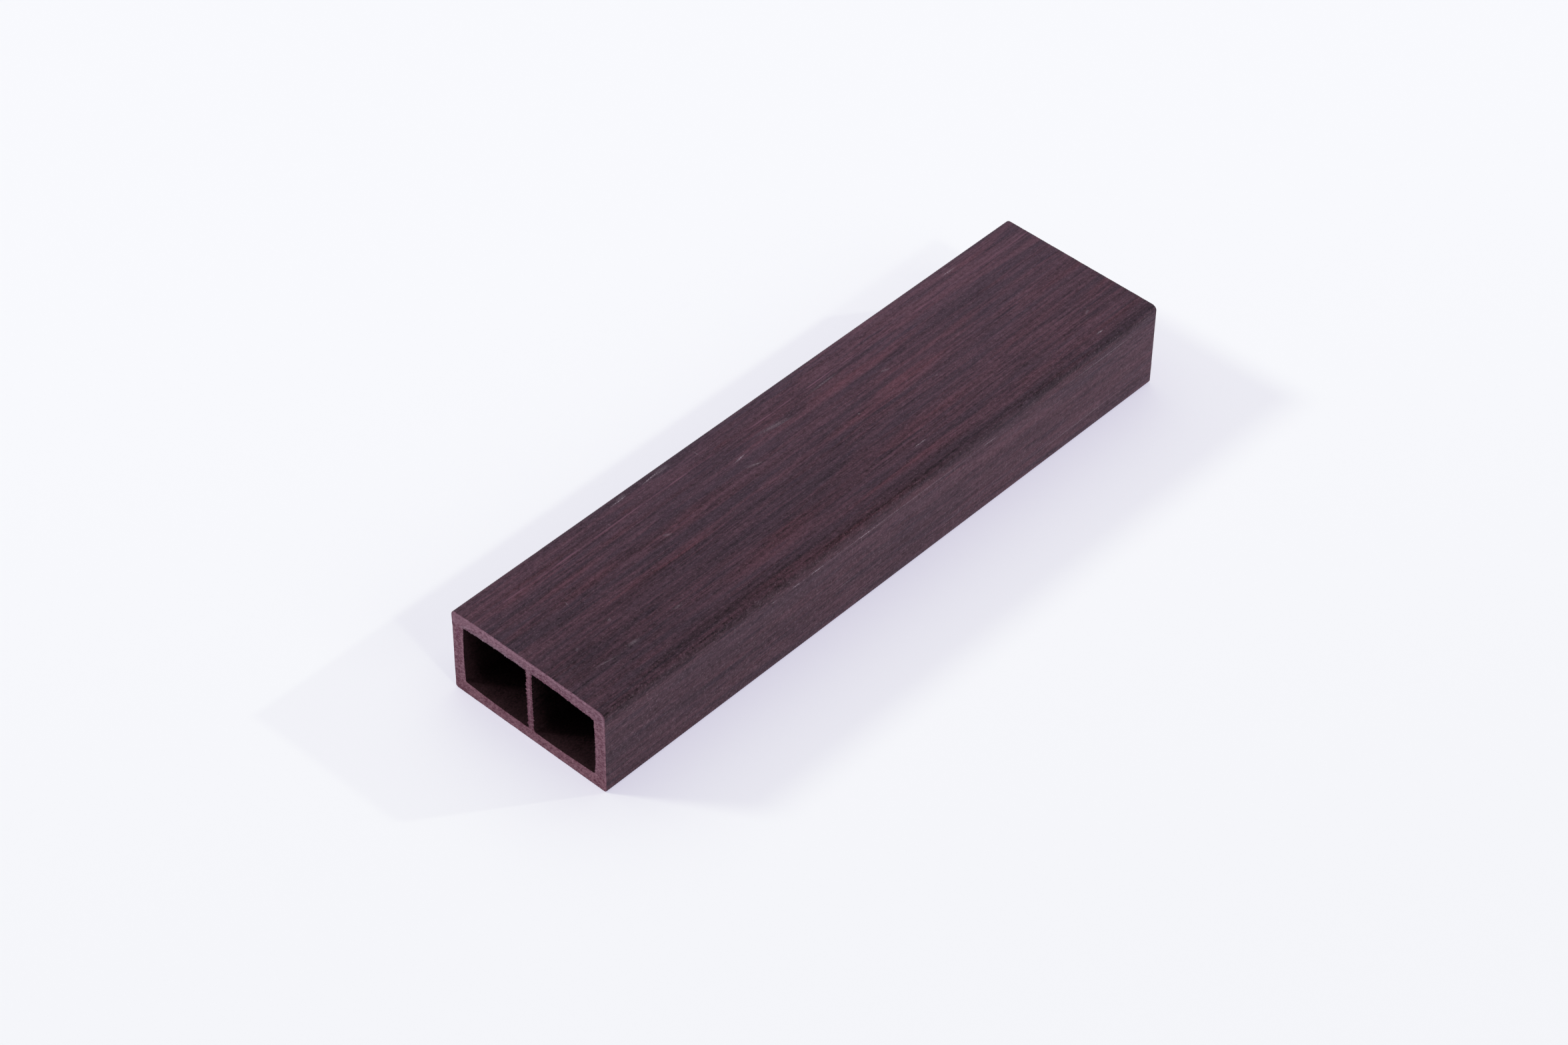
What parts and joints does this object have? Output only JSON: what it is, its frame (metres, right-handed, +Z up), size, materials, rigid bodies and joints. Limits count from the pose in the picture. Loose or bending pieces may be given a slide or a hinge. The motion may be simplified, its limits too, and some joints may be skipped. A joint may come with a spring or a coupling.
{
  "type": "composite timber tube",
  "caption": "Rectangular hollow composite timber profile with a central web between its chambers, sawn to length, for screens, ceilings and battens.",
  "frame": {"origin": "under the middle of the tube, on the wide face that it rests on", "axes": "+X along the tube, +Y across its wide face, +Z up from the face that it rests on"},
  "size_m": [0.1968, 0.05, 0.0255],
  "materials": {
    "wood_composite": "matt, embossed with fine lengthwise grain; sawn ends rough and paler"
  },
  "bodies": {
    "root": {"timber_tube": "wood_composite"}
  },
  "joints": []
}
